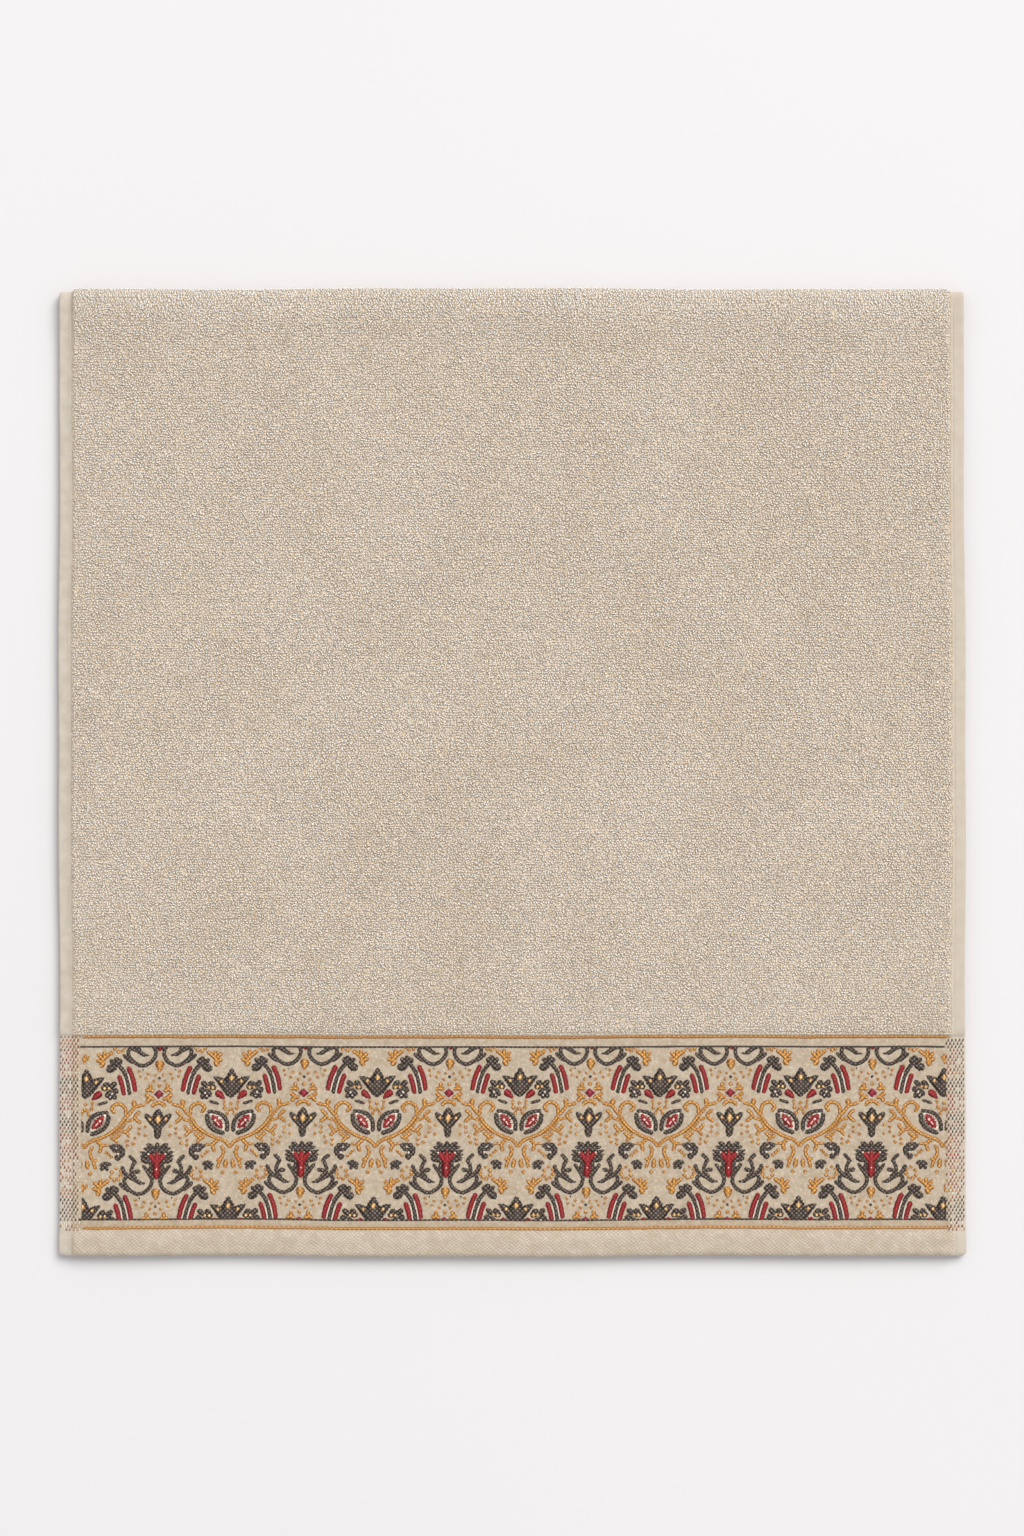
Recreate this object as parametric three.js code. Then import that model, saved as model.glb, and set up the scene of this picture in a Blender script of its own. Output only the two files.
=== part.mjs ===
// A terry hair towel, folded once across its length and lying flat on its back half.
// It is one cloth: a lower layer, a round fold at +Y, and an upper layer that lies back over the lower one.
// Millimetres, +Z up. The origin is in the middle of the underside, the fold is at +Y and the hems are at -Y.
import * as THREE from "three";

// Size of the folded towel
const TOWEL_WIDTH = 500;
const FOLDED_LENGTH = 534;

// The cloth's make
const TERRY_THICK = 4.2;
const SIDE_HEM_THICK = 2.2;
const SIDE_HEM_WIDTH = 8;
const SIDE_EDGE_THICK = 1.2;
const SIDE_EDGE_ROUND = 0.9;

// How the cloth lies
const LAYER_GAP = 0.5;
const FOLD_INNER_RADIUS = 1.5;
const FOLD_BULGE_LENGTH = 34;
const FOLD_STEPS = 10;
const LOWER_LAYER_INSET = 1.4;
const LOWER_LAYER_NARROWER = 0.7;
const BAND_CLEARANCE = 1.5;
const SIDE_HEM_DROOP = 1.3;
const CORNER_ROUND = 1.1;

// Slow unevenness of a hand-folded cloth: height and length of each wave
const SURFACE_WAVES = [
  { height: 0.22, alongX: 190, alongY: 260, phase: 0.7 },
  { height: 0.14, alongX: -105, alongY: 150, phase: 2.1 },
];
const OUTLINE_WAVES = [
  { height: 0.35, length: 330, phase: 1.1 },
  { height: 0.2, length: 127, phase: 4.0 },
];

// Bands across the cloth, from its end towards the fold: distance from the end and thickness there
const BANDS = [
  { part: "hem edge", at: 0, thick: 1.5 },
  { part: "hem edge", at: 0.8, thick: 2.9 },
  { part: "hem", at: 2.2, thick: 3.4 },
  { part: "hem", at: 12.2, thick: 3.4 },
  { part: "hem seam", at: 13.8, thick: 2.8 },
  { part: "lower gold line", at: 14.6, thick: 3.5 },
  { part: "lower gold line", at: 15.4, thick: 2.8 },
  { part: "border", at: 50, thick: 2.8 },
  { part: "border", at: 85, thick: 2.8 },
  { part: "upper gold line", at: 118.6, thick: 2.8 },
  { part: "upper gold line", at: 119.4, thick: 3.5 },
  { part: "terry edge", at: 120.2, thick: 2.9 },
  { part: "terry edge", at: 121.4, thick: 3.8 },
  { part: "terry", at: 124, thick: TERRY_THICK },
];
const TERRY_ROWS = 8;

const halfWidth = TOWEL_WIDTH / 2;
const halfLength = FOLDED_LENGTH / 2;
const foldOuterRadius = FOLD_INNER_RADIUS + TERRY_THICK;
const foldCentreY = halfLength - foldOuterRadius;
const lastBand = BANDS[BANDS.length - 1];

// 0 below low, 1 above high, and a smooth rise between them.
const smooth = (value, low, high) => THREE.MathUtils.smoothstep(value, low, high);

// Distances across the cloth at which it is divided, from one side edge to the other.
function columnPlaces() {
  const fromEdge = [0, SIDE_EDGE_ROUND, SIDE_HEM_WIDTH - 1, SIDE_HEM_WIDTH + 0.6, SIDE_HEM_WIDTH + 3, 30, 65];
  const middle = [];
  for (let x = 105; x <= TOWEL_WIDTH - 105; x += 48.33) middle.push(x);
  return [...fromEdge, ...middle, ...fromEdge.map((x) => TOWEL_WIDTH - x).reverse()];
}

// Distances along one layer at which it is divided, from its end to where the fold begins.
function layerPlaces(layerEndY) {
  const places = BANDS.map((band) => band.at);
  const length = foldCentreY - layerEndY;
  const bulgeStart = length - FOLD_BULGE_LENGTH;
  for (let k = 1; k <= TERRY_ROWS; k++) places.push(THREE.MathUtils.lerp(lastBand.at, bulgeStart, k / TERRY_ROWS));
  for (const share of [0.3, 0.6, 0.85]) places.push(bulgeStart + share * FOLD_BULGE_LENGTH);
  return places;
}

// Thickness of the cloth at a distance from its end, away from the side hems.
function bandThickness(fromEnd) {
  const next = BANDS.findIndex((band) => band.at >= fromEnd);
  if (next < 0) return TERRY_THICK;
  if (next === 0) return BANDS[0].thick;
  const before = BANDS[next - 1];
  const share = (fromEnd - before.at) / (BANDS[next].at - before.at);
  return THREE.MathUtils.lerp(before.thick, BANDS[next].thick, share);
}

// How far a place across the cloth is into the body, from 0 in a side hem to 1 in the terry.
const bodyShare = (fromSide) => smooth(fromSide, SIDE_HEM_WIDTH - 1, SIDE_HEM_WIDTH + 3);

function thicknessAt(fromEnd, fromSide) {
  const body = bandThickness(fromEnd);
  const roundedEdge = smooth(fromSide, -0.1, SIDE_EDGE_ROUND);
  const sideHem = THREE.MathUtils.lerp(SIDE_EDGE_THICK, SIDE_HEM_THICK, roundedEdge);
  return THREE.MathUtils.lerp(Math.min(sideHem, body), body, bodyShare(fromSide));
}

// Sum of slow waves, never below zero.
function surfaceLift(x, y) {
  return SURFACE_WAVES.reduce((sum, wave) => {
    const turn = 2 * Math.PI * (x / wave.alongX + y / wave.alongY) + wave.phase;
    return sum + wave.height * (1 + Math.sin(turn));
  }, 0);
}

const outlineShift = (along) =>
  OUTLINE_WAVES.reduce((sum, w) => sum + w.height * Math.sin((2 * Math.PI * along) / w.length + w.phase), 0);

// Height of the upper layer's underside: it clears the lower layer's bands, which lie a little further in.
function upperLayerFloor(x, y, fromEnd, fromSide) {
  const nearby = [-BAND_CLEARANCE, 0, BAND_CLEARANCE].map((d) => bandThickness(fromEnd - LOWER_LAYER_INSET + d));
  const lowerLayer = Math.max(bandThickness(fromEnd), ...nearby);
  const droop = SIDE_HEM_DROOP * (1 - smooth(fromSide, 0, SIDE_HEM_WIDTH + 2));
  const lying = lowerLayer + LAYER_GAP - droop + surfaceLift(x, y);
  const atFold = thicknessAt(Infinity, fromSide) + 2 * FOLD_INNER_RADIUS;
  return THREE.MathUtils.lerp(atFold, lying, smooth(foldCentreY - y, 0, FOLD_BULGE_LENGTH));
}

// The divisions along the whole cloth: the lower layer, the fold and the upper layer.
function rowsAlongCloth() {
  const lowerEnd = -halfLength + LOWER_LAYER_INSET;
  const upperEnd = -halfLength;
  const lower = layerPlaces(lowerEnd).map((fromEnd) => ({ layer: "lower", fromEnd, y: lowerEnd + fromEnd }));
  const upper = layerPlaces(upperEnd).map((fromEnd) => ({ layer: "upper", fromEnd, y: upperEnd + fromEnd }));
  const fold = [];
  for (let k = 0; k <= FOLD_STEPS; k++) fold.push({ layer: "fold", angle: -Math.PI / 2 + (Math.PI * k) / FOLD_STEPS });
  return [...lower, ...fold, ...upper.reverse()];
}

// A point of the folded cloth. Outer is the face that shows from above, below and behind.
function clothPoint(row, acrossCloth, outer) {
  const fromSide = Math.min(acrossCloth, TOWEL_WIDTH - acrossCloth);
  const side = Math.sign(acrossCloth - halfWidth);
  let x = acrossCloth - halfWidth;
  let y = row.y;
  let z;
  if (row.layer === "fold") {
    const thick = thicknessAt(Infinity, fromSide);
    const radius = FOLD_INNER_RADIUS + (outer ? thick : 0);
    y = foldCentreY + radius * Math.cos(row.angle);
    z = thick + FOLD_INNER_RADIUS + radius * Math.sin(row.angle);
  } else {
    const thick = thicknessAt(row.fromEnd, fromSide);
    const cornerInset = CORNER_ROUND * (1 - smooth(fromSide + row.fromEnd, 0, 2.2));
    x -= side * cornerInset;
    y += cornerInset;
    if (row.layer === "lower") z = outer ? 0 : thick;
    else z = upperLayerFloor(acrossCloth, y, row.fromEnd, fromSide) + (outer ? thick : 0);
  }
  const nearEdge = 1 - smooth(fromSide, 0, 60);
  const inLowerLayer = 1 - smooth(z, SIDE_HEM_THICK, SIDE_HEM_THICK + 1);
  x += side * nearEdge * (outlineShift(y) - LOWER_LAYER_NARROWER * inLowerLayer);
  y += (outlineShift(x + 40) * y) / halfLength;
  return new THREE.Vector3(x, y, z);
}

// A flat box with a grid on both faces becomes the folded cloth when each of its points is moved to its place.
function foldedCloth() {
  const columns = columnPlaces();
  const rows = rowsAlongCloth();
  const geometry = new THREE.BoxGeometry(1, 1, 1, columns.length - 1, rows.length - 1, 1);
  const position = geometry.getAttribute("position");
  for (let n = 0; n < position.count; n++) {
    const column = Math.round((position.getX(n) + 0.5) * (columns.length - 1));
    const row = Math.round((position.getY(n) + 0.5) * (rows.length - 1));
    const outer = position.getZ(n) < 0;
    const place = clothPoint(rows[row], columns[column], outer);
    position.setXYZ(n, place.x, place.y, place.z);
  }
  geometry.computeVertexNormals();
  return geometry;
}

const terry = new THREE.MeshStandardMaterial({ color: 0xcdbda8, roughness: 0.95, metalness: 0 });

const cloth = new THREE.Mesh(foldedCloth(), terry);
cloth.name = "towel_cloth";

const towel = new THREE.Group();
towel.add(cloth);

export default towel;
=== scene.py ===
import math

import bmesh
import bpy
import numpy as np
from mathutils import Matrix


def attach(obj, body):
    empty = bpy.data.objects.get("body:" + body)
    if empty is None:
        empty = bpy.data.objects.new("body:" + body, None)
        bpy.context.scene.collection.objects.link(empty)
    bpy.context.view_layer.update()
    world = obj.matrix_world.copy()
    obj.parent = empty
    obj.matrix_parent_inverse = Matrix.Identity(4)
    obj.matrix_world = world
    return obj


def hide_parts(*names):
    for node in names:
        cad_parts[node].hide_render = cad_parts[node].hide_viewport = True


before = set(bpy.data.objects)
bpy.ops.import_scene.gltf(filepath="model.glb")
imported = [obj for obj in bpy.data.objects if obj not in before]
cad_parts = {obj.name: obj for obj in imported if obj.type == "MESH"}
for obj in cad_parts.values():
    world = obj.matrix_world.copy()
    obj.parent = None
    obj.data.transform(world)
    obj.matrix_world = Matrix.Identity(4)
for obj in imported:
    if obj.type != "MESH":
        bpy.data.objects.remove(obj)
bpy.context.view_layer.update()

# A beige terry hair towel, folded once and lying flat. The cloth is one sheet laid in its fold. Its loops,
# border yarns, lines, ticks and stitches are laid on it by their place across and along the cloth.

# Sizes of the folded towel, in millimetres
MM = 0.001
WIDTH = 500.0
LENGTH = 534.0
TERRY_THICK = 4.2
LAYER_GAP = 0.5
FOLD_INNER_RADIUS = 1.5
FOLD_BULGE_LENGTH = 34.0
LOWER_LAYER_INSET = 1.4
LOWER_LAYER_NARROWER = 0.7
SIDE_HEM_WIDTH = 7.2
SIDE_HEM_THICK = 2.2
SIDE_HEM_DROOP = 1.3
SIDE_EDGE_ROUND = 1.1
END_ROUND = 2.6
CORNER_ROUND = 1.1
CORNER_REACH = 2.2
RIGHT_EDGE_LEAN = 0.65

# Unevenness of a hand-folded cloth. Waves of the surface: height, length across and along, and phase.
# Waves of the outline: height, length and phase. Dents: height, size and seed.
SURFACE_WAVES = ((0.22, 190, 260, 0.7), (0.14, -105, 150, 2.1))
OUTLINE_WAVES = ((0.35, 330, 1.1), (0.2, 127, 4.0))
OUTLINE_REACH = 60
END_WAVE_SHIFT = 40
DENTS = ((0.16, 46, 11), (0.09, 17, 12))

# Bands across the cloth: distance from its end and thickness there
BANDS = (
    (0, 3.3),
    (2.2, 3.5),
    (10.6, 3.5),
    (14.6, 2.85),
    (121.0, 2.8),
    (122.6, 3.7),
    (124.8, TERRY_THICK),
)

# Places along the cloth, as distances from its end
HEM = 14.8
LOWER_GOLD_LINE = 15.6
LOWER_DARK_LINE = 20.1
ZONE_HEIGHT = 95.3
UPPER_DARK_LINE = LOWER_DARK_LINE + ZONE_HEIGHT
UPPER_GOLD_LINE = 120.9
TERRY_START = 121.9

# A distance that is past every band
FAR_FROM_END = 999.0

# Share of an edge's rounding that is left flat, so that a narrow wall joins the cloth's two faces
EDGE_WALL = 0.002

# Terry loops
PILE = 0.6
LOOP_PITCH = 1.42
LOOP_LENGTH = 2.15
LOOP_WIDTH = 0.96
LOOP_HEIGHT = 0.48
LOOP_ARCH = 0.18
LOOP_INSET = 0.9
LOOP_JITTER = 0.4

# Worked out from these: FLAT is a layer's length up to the fold, ARC the way round the fold's outside,
# and CLOTH_END the whole cloth's length along its outer face
HALF_WIDTH = WIDTH / 2
HALF_LENGTH = LENGTH / 2
FOLD_RADIUS = FOLD_INNER_RADIUS + TERRY_THICK
FOLD_CENTRE = HALF_LENGTH - FOLD_RADIUS
FLAT = FOLD_CENTRE + HALF_LENGTH
ARC = math.pi * FOLD_RADIUS
CLOTH_END = 2 * FLAT + ARC - LOWER_LAYER_INSET
LOOPS_END = FLAT + 0.78 * ARC


# The folded cloth as a surface
def smooth(value, low, high):
    """0 below low, 1 above high, and a smooth rise between them."""
    share = np.clip((value - low) / (high - low), 0, 1)
    return share * share * (3 - 2 * share)


def soft_noise(x, y, size, seed):
    """Slow random heights from -1 to 1, with one hill or hollow about every size millimetres."""
    cells = 128
    heights = np.random.default_rng(seed).uniform(-1, 1, (cells, cells))
    x = np.asarray(x) / size
    y = np.asarray(y) / size
    column = np.floor(x).astype(int)
    row = np.floor(y).astype(int)
    right = smooth(x - column, 0, 1)
    up = smooth(y - row, 0, 1)

    def along_row(row):
        here = heights[row % cells, column % cells]
        beside = heights[row % cells, (column + 1) % cells]
        return here * (1 - right) + beside * right

    return along_row(row) * (1 - up) + along_row(row + 1) * up


def thickness(from_end, from_side):
    """Thickness of the cloth, with its thinner side hems."""
    body = np.interp(from_end, *np.transpose(BANDS))
    share = smooth(from_side, SIDE_HEM_WIDTH - 0.8, SIDE_HEM_WIDTH + 2.2)
    return np.minimum(SIDE_HEM_THICK, body) * (1 - share) + body * share


def outline_shift(along):
    """How far the edge wanders in or out."""
    return sum(high * np.sin(2 * math.pi * along / long + turn) for high, long, turn in OUTLINE_WAVES)


def upper_floor(across, y, from_end, from_side):
    """Height of the upper layer's underside over the lower layer."""
    body = np.interp(from_end, *np.transpose(BANDS))
    waves = sum(
        high * (1 + np.sin(2 * math.pi * (across / wide + y / long) + turn))
        for high, wide, long, turn in SURFACE_WAVES
    )
    dents = sum(high * soft_noise(across, y, size, seed) for high, size, seed in DENTS)
    droop = SIDE_HEM_DROOP * (1 - smooth(from_side, 0, SIDE_HEM_WIDTH + 2))
    lying = body + LAYER_GAP - droop + waves + dents
    at_fold = thickness(np.full_like(from_side, FAR_FROM_END), from_side) + 2 * FOLD_INNER_RADIUS
    share = smooth(FOLD_CENTRE - y, 0, FOLD_BULGE_LENGTH)
    return at_fold * (1 - share) + lying * share


def cloth_points(across, along, depth):
    """Points of the cloth in millimetres: across it from its left edge, along its outer face from the
    upper layer's end over the fold to the lower layer's end, and down from that face."""
    across, along, depth = np.broadcast_arrays(*(np.asarray(v, float) for v in (across, along, depth)))
    from_side = np.minimum(across, WIDTH - across)
    side = np.sign(across - HALF_WIDTH)
    folding = (along > FLAT) & (along < FLAT + ARC)
    lower = along >= FLAT + ARC
    from_end = np.where(lower, CLOTH_END - along, np.where(folding, FAR_FROM_END, along))
    full = thickness(from_end, from_side)
    angle = math.pi / 2 - (along - FLAT) / FOLD_RADIUS
    radius = FOLD_INNER_RADIUS + full - depth
    corner = CORNER_ROUND * (1 - smooth(np.maximum(from_side, 0) + from_end, 0, CORNER_REACH))
    y_flat = np.where(lower, FOLD_CENTRE - (along - FLAT - ARC), along - HALF_LENGTH) + corner
    y = np.where(folding, FOLD_CENTRE + radius * np.cos(angle), y_flat)
    z_upper = upper_floor(across, y_flat, from_end, from_side) + full - depth
    z_fold = full + FOLD_INNER_RADIUS + radius * np.sin(angle)
    z = np.where(folding, z_fold, np.where(lower, depth, z_upper))
    near_edge = 1 - smooth(from_side, 0, OUTLINE_REACH)
    narrower = LOWER_LAYER_NARROWER * (1 - smooth(z, SIDE_HEM_THICK, SIDE_HEM_THICK + 1))
    x = across - HALF_WIDTH - side * corner + side * near_edge * (outline_shift(y) - narrower)
    y = y + outline_shift(x + END_WAVE_SHIFT) * y / HALF_LENGTH
    x = x - RIGHT_EDGE_LEAN * (1 + x / HALF_WIDTH) / 2 * y / HALF_LENGTH
    return np.stack([x, y, z], axis=-1)


def cloth_frames(across, along):
    """Unit vectors across, along and out of the cloth's outer face."""
    step = 0.4
    over = cloth_points(across + step, along, 0) - cloth_points(across - step, along, 0)
    on = cloth_points(across, along + step, 0) - cloth_points(across, along - step, 0)
    over /= np.linalg.norm(over, axis=-1, keepdims=True)
    on /= np.linalg.norm(on, axis=-1, keepdims=True)
    out = np.cross(over, on)
    out /= np.linalg.norm(out, axis=-1, keepdims=True)
    return over, on, out


def pile_depth(across, along):
    """How deep the loops' feet are under the cloth's outer face: nothing in hems, border and underside."""
    from_side = np.minimum(across, WIDTH - across)
    in_width = smooth(from_side, SIDE_HEM_WIDTH, SIDE_HEM_WIDTH + 1.2)
    in_length = smooth(along, TERRY_START, TERRY_START + 1.2)
    above = 1 - smooth(along, FLAT + 0.5 * ARC, FLAT + 0.95 * ARC)
    return PILE * in_width * in_length * above


# Materials
class Value:
    """A number or colour worked out inside a material. A number takes part in sums as in Python."""

    def __init__(self, look, socket):
        self.look = look
        self.socket = socket

    def math(self, operation, first, second=0.0):
        return self.look.node("ShaderNodeMath", {"operation": operation}, {0: first, 1: second})

    def __add__(self, other):
        return self.math("ADD", self, other)

    def __radd__(self, other):
        return self.math("ADD", other, self)

    def __sub__(self, other):
        return self.math("SUBTRACT", self, other)

    def __rsub__(self, other):
        return self.math("SUBTRACT", other, self)

    def __mul__(self, other):
        return self.math("MULTIPLY", self, other)

    def __rmul__(self, other):
        return self.math("MULTIPLY", other, self)

    def sine(self):
        return self.math("SINE", self)

    def absolute(self):
        return self.math("ABSOLUTE", self)

    def between(self, low, high):
        """0 to 1 as this value goes from low to high."""
        inputs = {"Value": self, "From Min": low, "From Max": high}
        return self.look.node("ShaderNodeMapRange", {"interpolation_type": "SMOOTHSTEP"}, inputs)


class Look:
    """One material of the towel, built node by node."""

    def __init__(self, name, roughness=0.9, sheen=0.0):
        self.material = bpy.data.materials.new(name)
        self.material.use_nodes = True
        self.tree = self.material.node_tree
        self.shader = self.tree.nodes["Principled BSDF"]
        self.shader.inputs["Roughness"].default_value = roughness
        self.shader.inputs["Sheen Weight"].default_value = sheen
        self.place = self.node("ShaderNodeTexCoord", output="Object")

    def node(self, kind, settings=None, inputs=None, output=0):
        """Adds a node, with its settings first and then its inputs, and returns one of its outputs."""
        made = self.tree.nodes.new(kind)
        for name, setting in (settings or {}).items():
            setattr(made, name, setting)
        for name, given in (inputs or {}).items():
            if isinstance(given, Value):
                self.tree.links.new(given.socket, made.inputs[name])
            else:
                made.inputs[name].default_value = given
        return Value(self, made.outputs[output])

    def axis(self, name):
        """The place on the towel along X, Y or Z, in metres."""
        return self.node("ShaderNodeSeparateXYZ", None, {0: self.place}, name)

    def noise(self, size, detail=2.0):
        """Soft random values whose blots are about size metres across."""
        inputs = {"Vector": self.place, "Scale": 1 / size, "Detail": detail}
        return self.node("ShaderNodeTexNoise", None, inputs)

    def attribute(self, name):
        """A number stored at the mesh's points."""
        return self.node("ShaderNodeAttribute", {"attribute_name": name}, None, "Fac")

    def mix(self, share, first, second):
        """A colour between two others: the first where share is 0, the second where it is 1."""
        return self.node("ShaderNodeMix", {"data_type": "RGBA"}, {0: share, 6: first, 7: second}, 2)

    def paint(self, colour):
        """Gives the material this colour."""
        self.tree.links.new(colour.socket, self.shader.inputs["Base Color"])

    def rough(self, value):
        """Gives the material this roughness."""
        self.tree.links.new(value.socket, self.shader.inputs["Roughness"])

    def raise_by(self, height, distance, strength=1.0):
        """Relief: height from 0 to 1 over distance metres."""
        inputs = {"Height": height, "Distance": distance, "Strength": strength}
        bump = self.node("ShaderNodeBump", None, inputs)
        self.tree.links.new(bump.socket, self.shader.inputs["Normal"])


def colour(red, green, blue):
    """Screen colour from 0 to 255 as the light that the shader needs."""
    def light(value):
        value = value / 255
        return value / 12.92 if value <= 0.04045 else ((value + 0.055) / 1.055) ** 2.4
    return (light(red), light(green), light(blue), 1.0)


def canvas(look, pitch):
    """Plain weave: raised crossings in a chequer."""
    turn = 2 * math.pi / pitch
    return ((look.axis("X") * turn).sine() * (look.axis("Y") * turn).sine()).between(-1.0, 1.0)


def loop_look():
    """Terry loops: painted highlight on tips, painted shade on ends and between loops, less at the fold."""
    look = Look("terry loops", sheen=0.1)
    # tone: each loop's random tone, with painted light on its top and on the fold and painted shade at its
    # ends
    tone = look.attribute("tone")
    blots = look.noise(0.05, 2.0).between(0.3, 0.7)
    near_fold = look.axis("Y").between(0.24, 0.26)
    # Painted shade between the loops, with less of it near the fold
    gap_shade = look.noise(0.0008, 0.0).between(0.5, 0.64) * (0.4 - near_fold * 0.3)
    pale = look.mix(tone, colour(224, 205, 179), colour(255, 253, 249))
    warm = look.mix(tone, colour(221, 200, 172), colour(255, 251, 243))
    # The last colour is the painted shade in the gaps between loops
    look.paint(look.mix(gap_shade, look.mix(blots, warm, pale), colour(182, 154, 124)))
    look.rough(look.noise(0.0012) * 0.15 + 0.82)
    return look.material


def ground_look():
    """The cloth under the loops: a maze of small ridges, with a painted highlight along the ridges."""
    look = Look("terry ground", sheen=0.1)
    maze = look.noise(0.0016, 1.0)
    ridge = 1.0 - (maze - 0.5).absolute().between(0.0, 0.09)
    low = look.mix(look.noise(0.06).between(0.3, 0.7), colour(206, 184, 156), colour(216, 196, 170))
    # Painted highlight: the ridges' tops are painted lighter than the cloth between them
    look.paint(look.mix(ridge * 0.6, low, colour(250, 238, 219)))
    look.rough(look.noise(0.002) * 0.1 + 0.86)
    look.raise_by(ridge, 0.0009)
    return look.material


def border_look():
    """The flat plain weave under the border's yarns, a little darker by the hem."""
    look = Look("woven border", roughness=0.85)
    threads = canvas(look, 0.0014)
    slubs = look.noise(0.004, 3.0)
    ground = look.mix(slubs.between(0.3, 0.7), colour(182, 164, 141), colour(200, 184, 163))
    specks = look.noise(0.0015, 1.0).between(0.45, 0.75)
    speckled = look.mix(specks * 0.6, ground, colour(226, 213, 194))
    by_hem = 1.0 - look.axis("Y").between(-0.252, -0.243)
    shaded = look.mix(by_hem * 0.4, speckled, colour(178, 154, 122))
    look.paint(look.mix((1.0 - threads) * 0.5, shaded, colour(156, 136, 110)))
    look.rough(slubs * 0.15 + 0.75)
    look.raise_by(threads, 0.00022)
    return look.material


def hem_look():
    """The end hem: fine ribs that sway a little."""
    look = Look("twill hem", roughness=0.85)
    sway = (look.noise(0.0035) - 0.5) * 9.0
    rows = (look.axis("Y") * (2 * math.pi / 0.0019) + sway).sine()
    stitches = (look.axis("X") * (2 * math.pi / 0.0024) + sway * 0.8).sine()
    ribs = (rows * stitches).between(-0.8, 0.8)
    slubs = look.noise(0.005, 3.0)
    ground = look.mix(slubs.between(0.3, 0.7), colour(193, 178, 159), colour(206, 193, 176))
    look.paint(look.mix((1.0 - ribs) * 0.45, ground, colour(158, 139, 115)))
    look.rough(slubs * 0.15 + 0.75)
    look.raise_by(ribs, 0.0003)
    return look.material


def side_hem_look():
    """The side hems: a fine plain weave, a little darker at the right."""
    look = Look("side hem", roughness=0.85)
    threads = canvas(look, 0.0013)
    slubs = look.noise(0.006, 3.0)
    ground = look.mix(slubs.between(0.3, 0.7), colour(198, 186, 171), colour(211, 201, 187))
    woven = look.mix(threads * 0.25, ground, colour(174, 160, 141))
    at_right = look.axis("X").between(0.236, 0.245)
    look.paint(look.mix(at_right * 0.5, woven, colour(190, 178, 161)))
    look.rough(slubs * 0.1 + 0.78)
    look.raise_by(threads, 0.00018)
    return look.material


def yarn_look(name, deep, bright, ridge=0.35, roughness=0.6):
    """Border yarn: small staggered stitches with a painted highlight in their middle, plus the stored tone.
    """
    look = Look(name, roughness=roughness)
    stitch = canvas(look, 0.0025).between(0.5, 0.95)
    shift = look.noise(0.003, 2.0).between(0.3, 0.7)
    # The stored tone is a painted highlight along each stroke's ridge, and on ticks and stitches a tone
    # that differs at random
    share = stitch * (shift * 0.4 + 0.6) * (1 - ridge) + look.attribute("tone") * ridge
    look.paint(look.mix(share, colour(*deep), colour(*bright)))
    look.rough(look.noise(0.001) * 0.2 + roughness - 0.1)
    return look.material


# Each finish by the name that the pieces use
LOOKS = {
    "loops": loop_look(),
    "ground": ground_look(),
    "border": border_look(),
    "hem": hem_look(),
    "side hem": side_hem_look(),
    "charcoal": yarn_look("charcoal yarn", (8, 5, 8), (137, 116, 100), 0.12),
    "gold": yarn_look("gold yarn", (134, 72, 10), (240, 184, 98), 0.4),
    "red": yarn_look("red yarn", (90, 0, 8), (192, 40, 42), 0.3),
    "magenta": yarn_look("dark pink yarn", (100, 8, 30), (186, 50, 68), 0.3),
    "amber": yarn_look("light gold yarn", (188, 118, 44), (255, 228, 162), 0.5),
    "pale": yarn_look("off-white yarn", (228, 212, 198), (252, 244, 234)),
    "cream": yarn_look("cream yarn", (216, 202, 182), (242, 231, 214)),
    "rust": yarn_look("rust brown yarn", (126, 66, 48), (190, 122, 96)),
    "thread": yarn_look("hem thread", (176, 160, 138), (222, 210, 192)),
}


# Shapes
def mesh_points(mesh):
    """The places of a mesh's points, one row each."""
    places = np.empty(len(mesh.vertices) * 3)
    mesh.vertices.foreach_get("co", places)
    return places.reshape(-1, 3)


def set_tone(mesh, tone):
    """Stores a tone from 0 to 1 at each point, which the yarns' materials read."""
    tones = mesh.attributes.new("tone", "FLOAT", "POINT")
    tones.data.foreach_set("value", tone.astype(np.float32).ravel())


def finish_mesh(mesh, name, looks):
    """Makes a piece from a mesh that is in millimetres in the towel's place."""
    mesh.vertices.foreach_set("co", (mesh_points(mesh) * MM).ravel())
    for look in looks:
        mesh.materials.append(LOOKS[look])
    mesh.polygons.foreach_set("use_smooth", np.ones(len(mesh.polygons), bool))
    mesh.update()
    piece = bpy.data.objects.new(name, mesh)
    bpy.context.scene.collection.objects.link(piece)
    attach(piece, "root")
    return piece


def lay_map(mesh, places):
    """Stores a flat map for the mesh: each point's place on it, from 0 to 1 each way.
    Returns which point each face corner belongs to."""
    layer = mesh.uv_layers.new(name="OFBake")
    corner = np.empty(len(mesh.loops), int)
    mesh.loops.foreach_get("vertex_index", corner)
    layer.data.foreach_set("uv", np.clip(places[corner], 0, 1).astype(np.float32).ravel())
    return corner


def column_places():
    """Where the cloth is divided across: close together in its side hems."""
    edge = [0, 0.12, 0.4, 0.75, 1.1, 2.4, 4.4, 6.2, 6.8, 7.2, 7.6, 8.0, 8.6, 9.4, 11]
    middle = np.linspace(15, WIDTH - 15, 66)
    return np.array([*edge, *middle, *(WIDTH - x for x in reversed(edge))])


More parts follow.
